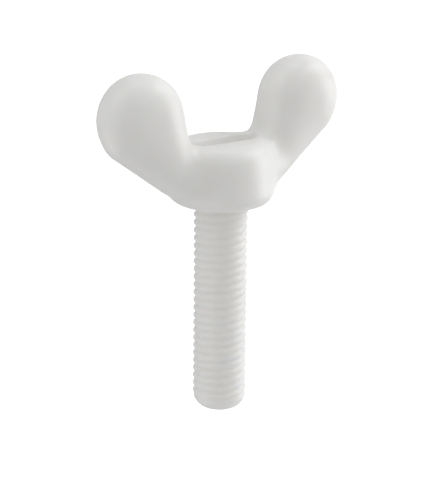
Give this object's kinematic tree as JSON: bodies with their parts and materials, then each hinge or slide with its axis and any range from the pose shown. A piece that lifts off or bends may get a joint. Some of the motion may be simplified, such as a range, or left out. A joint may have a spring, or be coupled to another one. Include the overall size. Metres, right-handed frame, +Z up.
{
  "type": "wing screw",
  "caption": "Moulded nylon thumb screw with full rounded ears and a round slotted hub on a right-hand threaded M10 shank, lying on its side.",
  "frame": {"origin": "on the floor, at the bottom centre of the lying screw's box", "axes": "+Z up from the floor; the screw lies along Y, its head towards +Y and its tip towards -Y, raised 6.4 degrees at the tip, with the ears level along X"},
  "size_m": [0.0504, 0.0652, 0.0196],
  "materials": {
    "nylon": "satin moulded natural white nylon"
  },
  "bodies": {
    "root": {"wing_screw": "nylon"}
  },
  "joints": []
}
